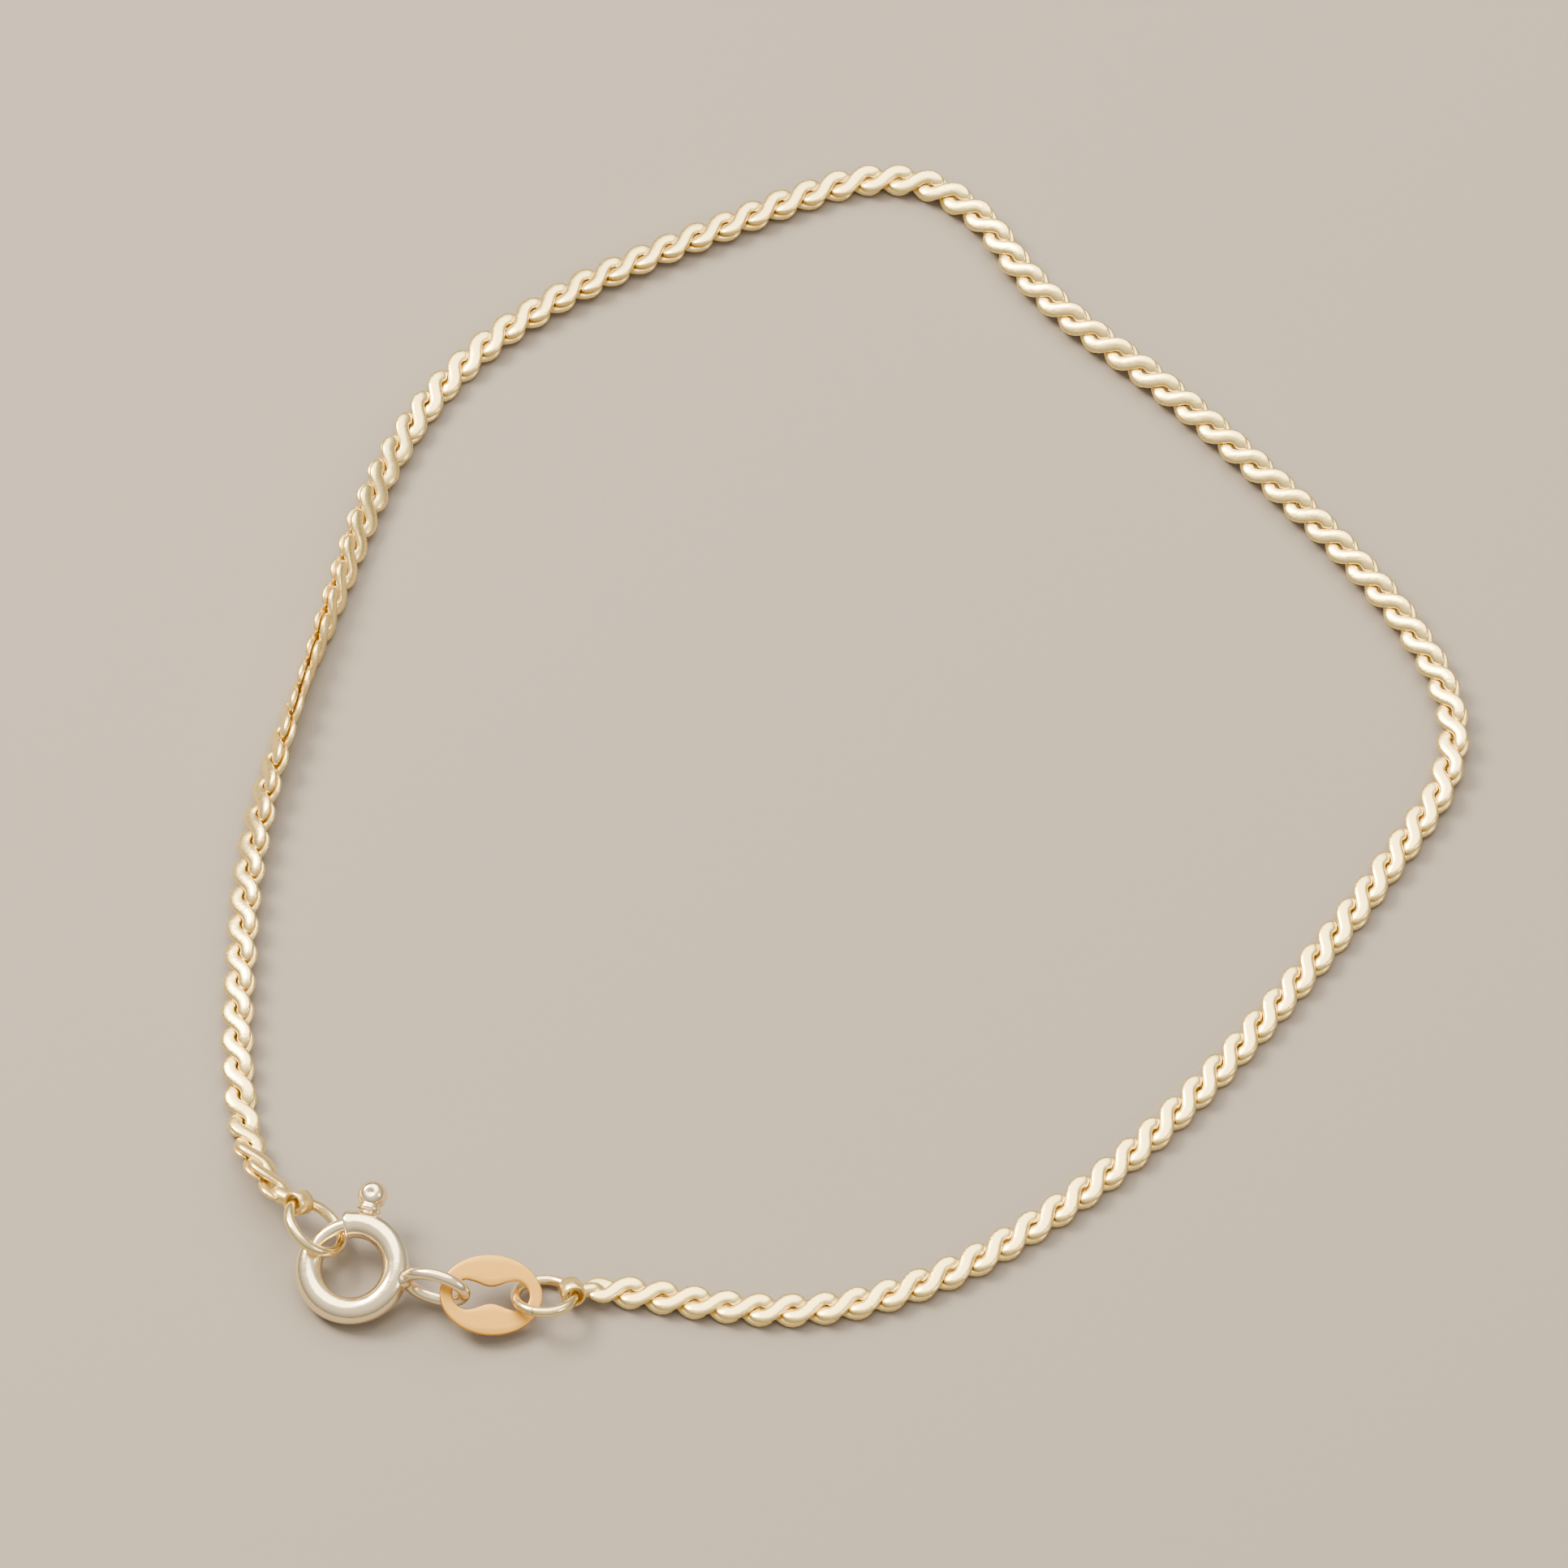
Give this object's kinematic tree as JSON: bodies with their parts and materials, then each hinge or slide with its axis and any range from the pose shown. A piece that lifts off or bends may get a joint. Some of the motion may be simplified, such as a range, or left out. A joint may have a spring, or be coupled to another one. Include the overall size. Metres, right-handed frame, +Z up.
{
  "type": "serpentine chain bracelet",
  "caption": "Closed bracelet of flat S links in a serpentine chain, lying in a loose twisted loop, joined by a spring ring clasp, jump rings and a slotted oval end tag.",
  "frame": {"origin": "middle of the box's underside, on the surface that the bracelet lies on", "axes": "+Z up from that surface, +Y across the longer way of the closed loop, +X to the right with the clasp at the lower left"},
  "size_m": [0.0604, 0.0658, 0.003],
  "materials": {
    "chain_silver": "polished sterling silver",
    "jump_ring_silver": "polished sterling silver wire",
    "tag_silver": "stamped sterling silver sheet, polished",
    "clasp_silver": "polished sterling silver tube",
    "bolt_silver": "polished sterling silver"
  },
  "bodies": {
    "bracelet": {"chain": "chain_silver", "jump_ring_clasp": "jump_ring_silver", "jump_ring_tag": "jump_ring_silver", "chain_tag": "tag_silver", "spring_ring": "clasp_silver"},
    "bolt": {"spring_ring_bolt": "bolt_silver"}
  },
  "joints": [
    {"name": "bolt_slide_round_ring", "type": "hinge", "parent": "bracelet", "child": "bolt", "pos_m": [-0.0235, -0.02957, 0.00125], "axis": [0.1341, 0.233, -0.9632], "range_deg": [0, 64], "stiffness_Nm_per_rad": 0.0025, "springref_deg": -17.19}
  ]
}
